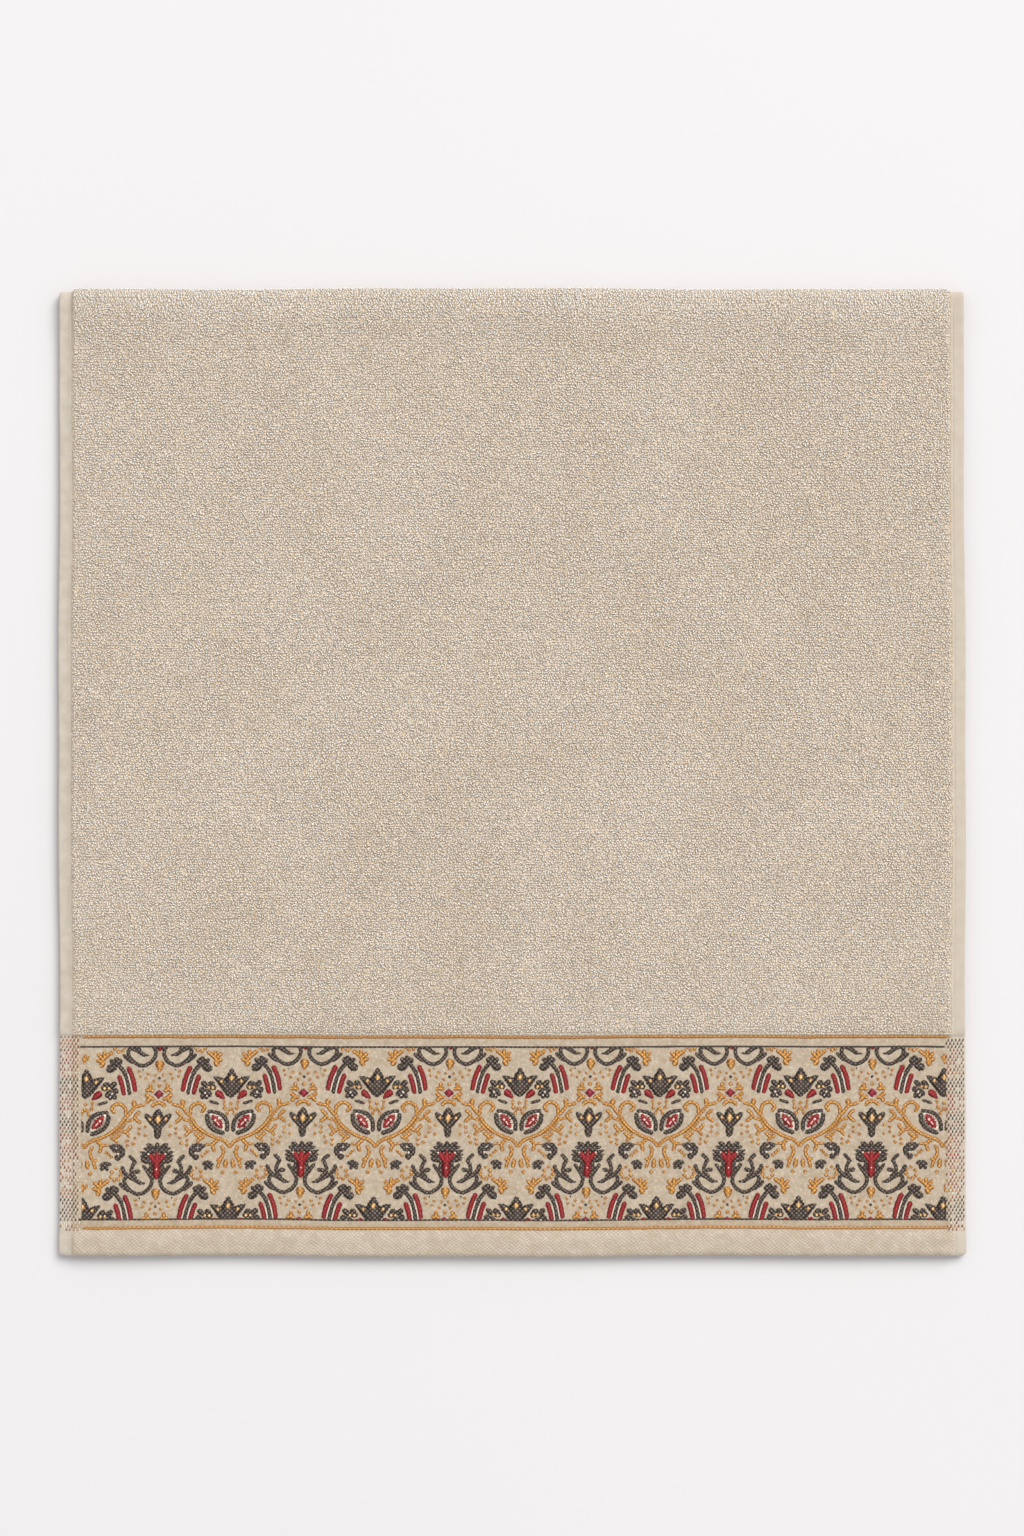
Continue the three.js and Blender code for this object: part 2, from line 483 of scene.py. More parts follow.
def row_places():
    """Where the cloth is divided along its outer face: closest at its ends and at the terry's start."""
    end = [0, 0.15, 0.5, 1.0, 1.7, 2.6, 4.2, 7, 10.6, 12.7, 14.6, 16, 18.4, 22]
    border = np.arange(26, 118, 4)
    edge = [120.2, 121.0, 121.6, 122.1, 122.6, 123.2, 124, 125.8]
    upper = np.linspace(130, FLAT, 70)
    fold = np.linspace(FLAT, FLAT + ARC, 19)[1:]
    lower = np.linspace(FLAT + ARC, CLOTH_END - 125, 44)[1:]
    lower_end = [124, 122.6, 121, 90, 60, 30, 14.9, 14.6, 10.6, 6, 2.6, 1.7, 1.0, 0.5, 0.15, 0]
    return np.array([*end, *border, *edge, *upper, *fold, *lower, *(CLOTH_END - x for x in lower_end)])


def flat_slab(columns, rows):
    """A closed flat grid with a square for each division of the cloth, and for each of its points the place
    across, the place along, and whether it is on the inner face."""
    sheet = bmesh.new()
    bmesh.ops.create_grid(sheet, x_segments=len(columns) - 1, y_segments=len(rows) - 1, size=1)
    inner = bmesh.ops.extrude_face_region(sheet, geom=sheet.faces[:], use_keep_orig=True)
    inner_points = [v for v in inner["geom"] if isinstance(v, bmesh.types.BMVert)]
    bmesh.ops.translate(sheet, verts=inner_points, vec=(0, 0, -1))
    bmesh.ops.recalc_face_normals(sheet, faces=sheet.faces[:])
    mesh = bpy.data.meshes.new("towel_cloth_sheet")
    sheet.to_mesh(mesh)
    sheet.free()
    places = mesh_points(mesh)
    column = np.rint((places[:, 0] + 1) / 2 * (len(columns) - 1)).astype(int)
    row = np.rint((places[:, 1] + 1) / 2 * (len(rows) - 1)).astype(int)
    return mesh, columns[column], rows[row], places[:, 2] < -0.5


def weave_of_faces(across, along, corner):
    """Which of the cloth's weaves each face shows: 0 ground, 1 border, 2 end hem, 3 side hem."""
    face_across = across[corner].reshape(-1, 4).mean(axis=1)
    face_along = along[corner].reshape(-1, 4).mean(axis=1)
    from_side = np.minimum(face_across, WIDTH - face_across)
    from_end = np.minimum(face_along, CLOTH_END - face_along)
    return np.select([from_side < SIDE_HEM_WIDTH, from_end < HEM, from_end < TERRY_START], [3, 2, 1], 0)


def ground_cloth():
    """The cloth itself: a flat slab laid in its folds, with rounded edges."""
    mesh, across, along, is_inner = flat_slab(column_places(), row_places())
    from_side = np.minimum(across, WIDTH - across)
    from_end = np.minimum(along, CLOTH_END - along)
    folding = (along > FLAT) & (along < FLAT + ARC)
    full = thickness(np.where(folding, FAR_FROM_END, from_end), from_side)
    nearest = np.minimum(from_side / SIDE_EDGE_ROUND, from_end / END_ROUND).clip(EDGE_WALL, 1)
    pinch = full / 2 * (1 - np.sqrt(1 - (1 - nearest) ** 2))
    depth = np.where(is_inner, full - pinch, pile_depth(across, along) + pinch)
    mesh.vertices.foreach_set("co", cloth_points(across, along, depth).ravel())

    # A flat map: the border gets most room, then the rest of the upper layer, then the hidden faces
    up = np.interp(along, (0, 124, FLAT + ARC, CLOTH_END), (0, 0.3, 0.7, 0.84))
    up_inner = np.interp(along, (0, CLOTH_END), (0.86, 1.0))
    places = np.stack([0.01 + 0.98 * across / WIDTH, np.where(is_inner, up_inner, up)], axis=1)
    corner = lay_map(mesh, places)
    piece = finish_mesh(mesh, "towel_cloth_sheet", ("ground", "border", "hem", "side hem"))
    mesh.polygons.foreach_set("material_index", weave_of_faces(across, along, corner))
    mesh.update()
    return piece


def grain_template(rings):
    """One small grain with a full middle and two pointed ends: its points and faces."""
    grain = bmesh.new()
    bmesh.ops.create_uvsphere(grain, u_segments=3, v_segments=rings + 1, radius=0.5)
    bmesh.ops.rotate(grain, verts=grain.verts[:], matrix=Matrix.Rotation(-math.pi / 2, 3, "Y"))
    bmesh.ops.triangulate(grain, faces=grain.faces[:])
    points = np.array([v.co[:] for v in grain.verts])
    faces = np.array([[v.index for v in f.verts] for f in grain.faces])
    grain.free()
    return points, faces


def lay_grains(name, look, across, along, turn, size, arch, bend, lift, tone, rows, rings=2, shade=0.0):
    """Many grains on the cloth as one piece. turn is each grain's direction on the cloth, size its length,
    width and height, arch and bend how far its middle stands up and to the side, and lift the height of its
    centre. rows are where the piece's map starts and stops along the cloth. shade paints light on each
    grain's top and shade on its ends and underside."""
    points, faces = grain_template(rings)
    middle = 1 - (2 * points[:, 0]) ** 2
    long = points[None, :, 0] * size[0][:, None]
    wide = points[None, :, 1] * size[1][:, None] + middle[None, :] * bend[:, None]
    high = points[None, :, 2] * size[2][:, None] + middle[None, :] * arch[:, None] + lift[:, None]
    over, on, out = cloth_frames(across, along)
    shift_over = long * np.cos(turn)[:, None] - wide * np.sin(turn)[:, None]
    shift_on = long * np.sin(turn)[:, None] + wide * np.cos(turn)[:, None]
    base = cloth_points(across, along, 0)
    places = (
        base[:, None, :]
        + shift_over[..., None] * over[:, None, :]
        + shift_on[..., None] * on[:, None, :]
        + high[..., None] * out[:, None, :]
    )
    count = len(across)
    corners = faces[None, :, :] + (np.arange(count) * len(points))[:, None, None]
    mesh = bpy.data.meshes.new(name)
    mesh.from_pydata(places.reshape(-1, 3), [], corners.reshape(-1, 3), shade_flat=False)
    # Painted light and shade: each grain's top lighter, its ends and underside darker
    shading = shade * (middle * (0.5 + points[:, 2]) - 0.5)
    set_tone(mesh, np.clip(tone[:, None] + shading, 0, 1))
    map_across = (across[:, None] + shift_over) / WIDTH
    map_along = (along[:, None] + shift_on - rows[0]) / (rows[1] - rows[0])
    lay_map(mesh, np.stack([map_across, map_along], axis=-1).reshape(-1, 2))
    return finish_mesh(mesh, name, (look,))


def terry_loops():
    """Rows of loops over the terry, in four pieces from the border to the fold."""
    chance = np.random.default_rng(5)
    first_row = TERRY_START + LOOP_INSET
    first_column = SIDE_HEM_WIDTH + LOOP_INSET
    last_column = WIDTH - SIDE_HEM_WIDTH - 0.8
    rows = np.arange(first_row, LOOPS_END, LOOP_PITCH)
    columns = np.arange(first_column, last_column, LOOP_PITCH)
    along, across = (grid.ravel() for grid in np.meshgrid(rows, columns, indexing="ij"))
    stagger = (np.rint((along - rows[0]) / LOOP_PITCH) % 2) * LOOP_PITCH / 2
    across = across + stagger
    keep = across < last_column
    along, across = along[keep], across[keep]
    count = len(along)
    off_hem = smooth(np.minimum(across, WIDTH - across), first_column, SIDE_HEM_WIDTH + 3)
    off_border = smooth(along, first_row, TERRY_START + 3)
    across = across + chance.uniform(-LOOP_JITTER, LOOP_JITTER, count) * off_hem
    along = along + chance.uniform(-LOOP_JITTER, LOOP_JITTER, count) * off_border
    turn = math.pi * 1.5 * soft_noise(across, along, 6.5, 21) + chance.normal(0, 0.5, count)
    on_fold = smooth(along, FLAT - 14, FLAT - 2)
    turn = turn * (1 - on_fold) + (math.pi / 2 + chance.normal(0, 0.35, count)) * on_fold
    length = LOOP_LENGTH * chance.uniform(0.78, 1.22, count)
    width = LOOP_WIDTH * chance.uniform(0.82, 1.18, count)
    height = LOOP_HEIGHT * chance.uniform(0.85, 1.15, count)
    arch = LOOP_ARCH * chance.uniform(0.7, 1.2, count)
    bend = chance.uniform(-0.5, 0.5, count)
    lift = 0.25 - pile_depth(across, along) + chance.uniform(-0.12, 0.12, count)
    # Each loop's tone differs at random; the loops on the fold get a painted highlight
    tone = chance.normal(0.83, 0.1, count) + 0.06 * soft_noise(across, along, 30, 8) + 0.4 * on_fold
    stops = np.linspace(TERRY_START, LOOPS_END + 1, 5)
    names = ("terry_loops_by_border", "terry_loops_lower", "terry_loops_upper", "terry_loops_by_fold")
    pieces = []
    for name, low, high in zip(names, stops[:-1], stops[1:]):
        pick = (along >= low) & (along < high)
        place = (across[pick], along[pick], turn[pick])
        size = (length[pick], width[pick], height[pick])
        shape = (arch[pick], bend[pick], lift[pick], tone[pick])
        rows = (low - 2, high + 2)
        # The loops get painted light on their tops and painted shade on their ends and undersides
        pieces.append(lay_grains(name, "loops", *place, size, *shape, rows, rings=1, shade=0.7))
    return pieces


# The woven pattern fills a zone between the dark lines
ZONE = ((12.6, 488.9), (LOWER_DARK_LINE + 0.2, UPPER_DARK_LINE - 0.2))
HALF_REPEAT = 39.33
REPEAT_UP = 70.7
FIRST_AXIS = 15.9
STITCH = 0.62

# How far the weave wanders at places across the cloth: to the side low and high in the zone, and up
DRIFT_ROWS = (18, 81)
DRIFT_AT = (15, 55, 94, 134, 173, 213, 252, 291, 331, 370, 409, 448, 488)
DRIFT_LOW = (-2.6, -1.7, -1.0, -0.8, 0.5, 0.5, 0.4, -0.5, -1.0, -1.2, -1.6, -1.1, -0.6)
DRIFT_HIGH = (-0.7, 0.3, 0.8, 1.5, 2.6, 2.9, 2.4, 1.8, 0.8, 0.4, -0.3, -0.2, 0.1)
DRIFT_UP = (-0.5, -1.0, -0.2, 0.1, 0.6, 0.1, 0.7, 0.4, 0.3, -0.1, 0.6, 0.0, 0.3)

# Half of the pattern's repeat, drawn from the axis of the dark crowns towards that of the red flowers.
# Each row: yarn, form, width, and points as (across from the dark axis, up from the lower dark line).
CHART = (
    # Dark crown
    ("charcoal", "line", 2.6, (0, 83.4), (0, 80)),
    ("charcoal", "line", 4.8, (0, 82.0), (0, 77)),
    ("charcoal", "petal", 8.4, (0, 81.4), (0, 70)),
    ("charcoal", "leaf", 10.0, (0, 80.4), (0, 75.4), (0, 67.2)),
    ("charcoal", "leaf", 4.9, (0.6, 68.2), (4.0, 74.5), (6.6, 77.0), (9.7, 79.0)),
    ("charcoal", "line", 1.3, (7.6, 77.9), (9.8, 79.0)),
    ("amber", "diamond", 3.0, (0, 80.0), (0, 76.4)),
    ("amber", "dot", 1.7, (5.4, 76.4)),
    # Dark side flower
    ("charcoal", "petal", 3.5, (11.6, 73.0), (10.2, 76.7)),
    ("charcoal", "petal", 2.9, (12.4, 73.0), (16.4, 76.6)),
    ("charcoal", "petal", 3.3, (13.2, 71.0), (17.7, 72.2)),
    ("charcoal", "petal", 2.6, (13.6, 71.2), (16.5, 67.0)),
    ("charcoal", "petal", 2.7, (13.4, 71.6), (13.3, 66.5)),
    ("charcoal", "petal", 2.6, (13.6, 72.4), (10.7, 68.0)),
    ("charcoal", "petal", 3.3, (12.6, 73.2), (7.9, 73.6)),
    ("amber", "dot", 1.7, (10.0, 73.0)),
    ("amber", "dot", 1.4, (12.3, 73.2)),
    ("pale", "dot", 1.1, (14.2, 70.3)),
    ("pale", "dot", 0.8, (13.2, 68.5)),
    # Red drop and dash under it
    ("red", "drop", 3.7, (8.6, 70.8), (6.2, 69.2), (3.2, 66.4)),
    ("charcoal", "line", 1.5, (6.4, 64.0), (9.2, 64.9), (12.0, 65.8)),
    # Small gold dots under the crown
    ("gold", "dot", 1.8, (0, 64.0)),
    ("gold", "dot", 1.6, (3.8, 65.1)),
    ("gold", "line", 0.9, (3.8, 65.0), (3.4, 61.6)),
    ("gold", "dot", 2.0, (3.2, 61.5)),
    ("gold", "dot", 1.7, (0.4, 61.0)),
    ("gold", "dot", 1.4, (1.4, 59.9)),
    ("gold", "dot", 1.8, (2.0, 58.4)),
    # Gold fan leaf
    ("gold", "line", 2.0, (8.4, 85.4), (8.7, 88.6), (10.6, 90.8), (14.0, 93.3)),
    ("gold", "line", 1.8, (8.6, 88.8), (7.2, 90.6), (5.4, 92.2)),
    ("gold", "petal", 2.2, (9.2, 88.4), (9.4, 94.0)),
    ("gold", "petal", 2.1, (9.0, 87.4), (4.8, 88.7)),
    ("gold", "petal", 2.8, (9.8, 88.2), (7.2, 84.6)),
    # Gold ring of dots
    ("gold", "dot", 1.6, (17.7, 29.0)),
    ("gold", "dot", 1.7, (19.9, 27.6)),
    ("gold", "dot", 2.1, (20.3, 25.2)),
    ("gold", "dot", 1.8, (19.0, 23.2)),
    ("gold", "dot", 2.0, (16.8, 22.6)),
    ("gold", "dot", 2.0, (14.9, 24.2)),
    ("gold", "dot", 2.0, (15.2, 27.0)),
    # Dark three-lobed leaf on its stem, with red bars beside it
    ("charcoal", "petal", 3.1, (15.2, 87.0), (19.5, 88.5)),
    ("charcoal", "petal", 3.0, (16.4, 86.8), (15.9, 90.5)),
    ("charcoal", "petal", 2.5, (15.4, 86.2), (12.2, 89.0)),
    ("charcoal", "petal", 4.2, (16.5, 85.4), (10.6, 83.1)),
    ("charcoal", "line", 2.1, (14.8, 86.8), (17.2, 85.9), (20.2, 82.2), (22.2, 77.6), (23.6, 69.4)),
    ("red", "line", 2.4, (17.4, 80.5), (19.2, 75.4), (20.7, 69.4)),
    ("red", "line", 2.5, (22.2, 85.3), (25.0, 78.6), (26.5, 71.2)),
    ("cream", "line", 0.8, (20.2, 78.4), (21.3, 74.4), (22.2, 69.6)),
    ("cream", "line", 0.8, (22.2, 81.4), (23.8, 76.2), (25.0, 71.2)),
    # Dark ring under the red flower, with its tail and cross stroke
    ("charcoal", "line", 1.95, (24.2, 24.9), (22.3, 23.3), (22.5, 20.7), (24.2, 18.2), (26.7, 16.2),
     (30.0, 15.0), (33.4, 16.2), (35.7, 18.3), (36.9, 20.7), (37.0, 23.4), (35.9, 25.6)),
    ("charcoal", "line", 1.8, (19.5, 21.3), (20.8, 19.7), (22.8, 18.0), (25.1, 16.6)),
    ("charcoal", "line", 2.1, (20.6, 30.5), (21.8, 27.2), (24.2, 24.8), (27.3, 23.2), (30.2, 21.4),
     (31.8, 20.9)),
    ("charcoal", "line", 1.1, (31.2, 20.9), (33.6, 20.9)),
    # Dark antler and the flower's side stem
    ("charcoal", "line", 1.9, (24.2, 36.2), (26.1, 34.5), (27.4, 32.7), (26.6, 31.0), (25.9, 28.9),
     (25.8, 26.9), (26.9, 25.1), (29.1, 23.1)),
    ("charcoal", "petal", 1.3, (26.9, 32.8), (28.8, 32.3)),
    ("charcoal", "petal", 2.3, (26.3, 26.9), (30.9, 27.8)),
    ("charcoal", "line", 1.8, (31.9, 30.9), (33.3, 29.3), (34.5, 27.4), (36.0, 25.2), (37.0, 23.0)),
    # Gold drop, dots and clusters over the red flower
    ("gold", "drop", 4.5, (39.33, 89.0), (39.33, 82.2)),
    ("gold", "dot", 1.6, (28.4, 82.5)),
    ("charcoal", "dot", 0.9, (30.6, 83.4)),
    ("gold", "dot", 1.6, (33.3, 81.3)),
    ("gold", "dot", 1.5, (37.2, 80.7)),
    ("gold", "dot", 1.5, (29.0, 79.8)),
    ("gold", "dot", 1.6, (32.2, 78.6)),
    ("gold", "dot", 1.7, (36.3, 77.4)),
    ("gold", "dot", 2.0, (39.33, 74.9)),
    ("charcoal", "dot", 1.5, (39.33, 78.9)),
    ("gold", "petal", 2.3, (35.2, 72.8), (31.8, 71.9)),
    ("gold", "petal", 2.2, (34.6, 72.4), (34.8, 76.0)),
    ("gold", "petal", 2.2, (34.0, 72.8), (37.0, 71.6)),
    ("gold", "petal", 2.2, (35.4, 67.8), (31.8, 70.2)),
    ("gold", "petal", 2.3, (35.0, 68.4), (32.6, 65.0)),
    ("gold", "petal", 2.2, (33.8, 68.2), (37.4, 67.2)),
    ("magenta", "diamond", 5.8, (39.33, 72.6), (39.33, 67.4)),
    # Dark tulip under a gold arch
    ("gold", "line", 1.9, (35.6, 62.8), (36.7, 64.4), (38.1, 65.2), (39.33, 65.4), (40.3, 65.3)),
    ("charcoal", "leaf", 6.6, (39.33, 62.2), (39.33, 57.6), (39.33, 50.5)),
    ("charcoal", "petal", 3.3, (38.6, 50.6), (35.9, 55.0), (32.2, 59.2)),
    ("charcoal", "petal", 4.0, (39.33, 57.0), (39.33, 45.2)),
    ("amber", "diamond", 3.7, (39.33, 58.7), (39.33, 53.7)),
    ("amber", "dot", 1.6, (35.0, 56.3)),
    # Gold vine with its branches and curls
    ("gold", "line", 1.8, (22, 57.6), (18.2, 51.9), (12.7, 47.7), (7.7, 45.3), (4.9, 44.4), (1.8, 42.4),
     (0.1, 39.6)),
    ("gold", "line", 1.8, (22, 57.6), (21.3, 62.7), (17.3, 64.6), (14.2, 62.1), (16.2, 59.2)),
    ("gold", "line", 1.1, (23.2, 56.6), (20.0, 51.2), (14.6, 47.0)),
    ("gold", "line", 1.7, (22, 57.2), (23.9, 59.4), (26.6, 62.8), (29.0, 63.6), (32.2, 64.4)),
    ("gold", "petal", 2.7, (26.4, 62.6), (26.0, 67.0)),
    ("gold", "line", 1.8, (29.8, 60.8), (26.8, 57.3), (30.3, 53.8)),
    ("gold", "line", 1.4, (22.4, 54.8), (26.4, 56.2)),
    ("gold", "line", 1.7, (18.2, 50.9), (22.2, 49.2), (25.2, 52.8)),
    ("gold", "line", 1.6, (22.2, 49.2), (24.6, 46.2)),
    ("gold", "line", 1.7, (13.6, 46.4), (15.9, 45.4), (19.6, 48.2)),
    ("gold", "line", 1.6, (15.9, 45.4), (18.1, 42.8)),
    ("gold", "line", 1.9, (6.4, 44.2), (8.9, 42.0), (9.0, 39.6), (7.9, 37.5)),
    ("gold", "line", 1.4, (9.2, 41.6), (13.4, 41.8)),
    # Eye-shaped leaf
    ("charcoal", "line", 2.1, (1.7, 48.4), (1.8, 53.4), (3.7, 56.9), (6.4, 58.8), (12.6, 59.9)),
    ("charcoal", "line", 2.2, (2.9, 47.4), (6.7, 48.7), (9.8, 50.5), (11.8, 53.0), (12.6, 56.0),
     (12.5, 58.8)),
    ("cream", "leaf", 7.0, (11.2, 58.9), (7.1, 54.1), (3.2, 49.2)),
    ("red", "leaf", 6.0, (10.5, 58.3), (7.1, 54.1), (3.8, 50.1)),
    ("pale", "dot", 1.3, (8.1, 55.0)),
    ("pale", "line", 0.65, (7.3, 54.2), (5.7, 52.2)),
    # Dark triangle
    ("charcoal", "line", 2.0, (13.4, 41.4), (15.8, 39.9), (16.8, 37.8)),
    ("charcoal", "line", 2.2, (14.2, 41.3), (20.8, 41.1)),
    ("charcoal", "line", 2.6, (20.7, 40.8), (20.7, 37.4), (19.6, 35.2)),
    ("charcoal", "line", 2.0, (16.8, 38.2), (20.2, 39.0)),
    ("charcoal", "dot", 3.3, (18.3, 34.9)),
    ("pale", "line", 0.9, (16.7, 40.4), (17.8, 40.0)),
    ("pale", "line", 0.8, (18.0, 37.8), (18.7, 36.4)),
    # Gold drops that hang from the vine
    ("gold", "line", 1.8, (5.0, 41.0), (3.3, 38.4), (3.7, 35.4), (5.0, 33.0), (6.4, 28.2)),
    ("gold", "line", 1.5, (4.8, 33.2), (7.3, 33.1)),
    ("gold", "petal", 2.5, (1.6, 33.8), (2.4, 28.2)),
    ("gold", "dot", 2.0, (3.5, 26.1)),
    ("gold", "dot", 1.7, (12.0, 38.0)),
    ("gold", "dot", 1.7, (13.2, 36.8)),
    ("gold", "dot", 1.8, (14.8, 35.3)),
    # Small dark leaf
    ("charcoal", "petal", 2.3, (8.2, 30.2), (11.6, 31.6), (15.1, 30.8)),
    ("charcoal", "petal", 2.1, (11.4, 31.6), (9.2, 27.5)),
    ("charcoal", "petal", 2.1, (11.6, 31.6), (12.9, 27.5)),
    # Gold dots beside the vine
    ("gold", "dot", 1.7, (32.5, 52.2)),
    ("gold", "dot", 1.7, (29.4, 51.1)),
    ("gold", "dot", 1.7, (32.6, 47.4)),
    ("gold", "dot", 1.7, (29.3, 48.4)),
    ("gold", "dot", 1.6, (27.3, 45.9)),
    ("gold", "dot", 1.7, (23.2, 44.3)),
    ("gold", "dot", 1.9, (26.4, 42.8)),
    ("gold", "dot", 1.8, (23.2, 41.7)),
    # Red flower in its dark feathered cup
    ("charcoal", "leaf", 3.4, (39.33, 43.8), (39.33, 40.8), (39.33, 37.0)),
    ("charcoal", "leaf", 2.7, (37.8, 39.6), (35.8, 41.4), (33.2, 42.6)),
    ("charcoal", "leaf", 2.2, (37.0, 38.8), (34.6, 39.6), (31.7, 40.2)),
    ("charcoal", "leaf", 1.9, (35.8, 36.4), (33.0, 37.4), (30.0, 38.4)),
    ("charcoal", "leaf", 1.8, (34.8, 35.5), (32.2, 35.9), (30.0, 35.9)),
    ("charcoal", "petal", 3.1, (36.6, 32.3), (33.6, 33.4), (30.6, 34.4)),
    ("charcoal", "petal", 4.2, (39.33, 38.6), (36.8, 39.1), (33.7, 38.0)),
    ("charcoal", "line", 1.7, (33.8, 36.6), (35.2, 34.2), (36.3, 31.3), (36.0, 28.4), (36.2, 25.9),
     (38.0, 23.6)),
    ("charcoal", "petal", 2.0, (37.0, 28.4), (34.9, 29.8)),
    ("red", "leaf", 2.3, (39.33, 39.4), (39.33, 37.6), (39.33, 34.5)),
    ("red", "leaf", 3.9, (38.6, 31.6), (36.7, 35.0), (34.1, 37.8)),
    ("red", "line", 4.1, (39.33, 37.0), (39.33, 24.1)),
    ("red", "dot", 2.4, (39.33, 24.4)),
    ("pale", "dot", 1.0, (34.7, 37.1)),
    ("pale", "dot", 0.8, (39.33, 28.7)),
)

# How high each yarn stands, and how far its foot is raised where it lies on another yarn
YARN_RISE = {
    "charcoal": (0.4, 0.0),
    "gold": (0.52, 0.0),
    "red": (0.5, 0.0),
    "magenta": (0.46, 0.0),
    "cream": (0.32, 0.0),
    "pale": (0.35, 0.4),
    "amber": (0.3, 0.35),
}

# How much wider than in the chart a form is laid, to make up for its rounded sides
FORM_WIDER = {"line": 1.13, "dot": 1.15, "petal": 1.06, "drop": 1.06, "diamond": 1.05}

# The lines along the border: where they start and stop across the cloth, width and height
GOLD_LINE_SPAN = (13.5, 491.8)
GOLD_LINE_WIDTH = 1.5
GOLD_LINE_RISE = 0.55
DARK_LINE_SPAN = (10.5, 489.0)
DARK_LINE_WIDTH = 1.05
DARK_LINE_RISE = 0.3

# Squeezed gold leaves at both ends of the pattern: width, and points across and up
END_LEAVES = (
    (1.7, (14.2, 85.6), (14.6, 91.8)),
    (1.6, (14.2, 87.0), (16.8, 90.4)),
    (1.5, (14.2, 86.0), (13.2, 89.6)),
    (1.7, (13.2, 14.6), (13.0, 20.8)),
    (1.6, (13.2, 16.0), (15.8, 19.6)),
    (1.6, (488.2, 85.8), (488.0, 91.6)),
    (1.5, (488.2, 87.0), (486.4, 90.6)),
    (1.5, (488.4, 15.0), (488.4, 19.8)),
)


def smooth_line(points, step):
    """A smooth line through the points, with a point about every step."""
    points = np.asarray(points, float)
    padded = np.vstack([2 * points[0] - points[1], points, 2 * points[-1] - points[-2]])
    line = []
    for k in range(len(points) - 1):
        a, b, c, d = padded[k:k + 4]
        parts = max(2, int(math.ceil(np.linalg.norm(c - b) / step)))
        t = np.arange(parts)[:, None] / parts
        bend = (2 * a - 5 * b + 4 * c - d) * t ** 2
        twist = (3 * b - a - 3 * c + d) * t ** 3
        line.append(b + ((c - a) * t + bend + twist) / 2)
    line.append(points[-1:])
    return np.vstack(line)


def form_widths(form, line, width):
    """Width of a stroke at each of its points: leaf, blunt petal, drop, diamond or round-ended line."""
    run = np.concatenate([[0], np.cumsum(np.linalg.norm(np.diff(line, axis=0), axis=1))])
    share = run / run[-1]
    swell = {"leaf": (0.7, 1), "petal": (0.42, 1.25), "drop": (0.75, 0.6)}
    if form in swell:
        blunt, late = swell[form]
        return width * np.clip(np.sin(math.pi * share ** late), 0, 1) ** blunt + 0.12
    if form == "diamond":
        return width * (1 - np.abs(2 * share - 1)) + 0.12
    end = np.minimum(run, run[-1] - run) / (width / 2)
    return width * np.sqrt(1 - (1 - np.clip(end, 0.04, 1)) ** 2)


class Strokes:
    """Gathers the strokes of one yarn as curves on the flat cloth, then lays them on it as one piece."""

    def __init__(self):
        self.curve = bpy.data.curves.new("strokes", "CURVE")
        self.curve.dimensions = "3D"
        self.curve.bevel_depth = 0.5
        self.curve.bevel_resolution = 0
        self.curve.use_fill_caps = True
        self.curve.twist_mode = "Z_UP"

    def add(self, line, widths):
        """Adds one stroke with its width at each point."""
        spline = self.curve.splines.new("POLY")
        spline.points.add(len(line) - 1)
        places = np.zeros((len(line), 4))
        places[:, :2] = line
        places[:, 3] = 1
        spline.points.foreach_set("co", places.ravel())
        spline.points.foreach_set("radius", widths)

    def piece(self, name, look, height, zone, foot=0.0):
        """The strokes as a piece that stands height over the cloth and ends at the zone's edges."""
        holder = bpy.data.objects.new("strokes", self.curve)
        bpy.context.scene.collection.objects.link(holder)
        mesh = bpy.data.meshes.new_from_object(holder.evaluated_get(bpy.context.evaluated_depsgraph_get()))
        bpy.data.objects.remove(holder)
        bpy.data.curves.remove(self.curve)
        mesh.name = name
        across, along, high = mesh_points(mesh).T
        (left, right), (low, top) = zone
        across = across.clip(left, right)
        along = along.clip(low, top)
        lift = foot + height * np.tanh(high / height * 1.1)
        mesh.vertices.foreach_set("co", cloth_points(across, along, -lift).ravel())
        mesh.materials.clear()
        # Tone: a painted highlight along each stroke's ridge, with painted shade towards its sides
        set_tone(mesh, smooth(high, 0, 0.7))
        lay_map(mesh, np.stack([across / WIDTH, (along - low) / (top - low)], axis=1))
        return finish_mesh(mesh, name, (look,))


def inside_runs(line, widths):
    """The parts of a stroke that reach into the pattern's zone."""
    (left, right), (low, top) = ZONE
    reach = widths / 2
    x, y = line.T
    inside = (x + reach > left) & (x - reach < right) & (y + reach > low) & (y - reach < top)
    edges = np.flatnonzero(np.diff(np.concatenate([[0], inside.astype(int), [0]])))
    for start, stop in zip(edges[::2], edges[1::2]):
        if stop - start > 1:
            yield line[start:stop], widths[start:stop]


def repeats(line):
    """A stroke of the chart and its mirror image, in every repeat that may reach the zone."""
    from_axis = min(abs(line[0, 0]), abs(line[0, 0] - HALF_REPEAT))
    on_axis = np.ptp(line[:, 0]) < 0.01 and from_axis < 0.01
    for period in range(-1, 8):
        for mirror in (1,) if on_axis else (1, -1):
            for up in (-REPEAT_UP, 0, REPEAT_UP):
                yield line * (mirror, 1) + (FIRST_AXIS + period * 2 * HALF_REPEAT, LOWER_DARK_LINE + up)


def drift(line):
    """How far the weave has wandered at each point of a stroke."""
    first, last = DRIFT_ROWS
    height = (line[:, 1] - LOWER_DARK_LINE - first) / (last - first)
    low, high, up = (np.interp(line[:, 0], DRIFT_AT, far) for far in (DRIFT_LOW, DRIFT_HIGH, DRIFT_UP))
    return np.stack([low * (1 - height) + high * height, up], axis=1)


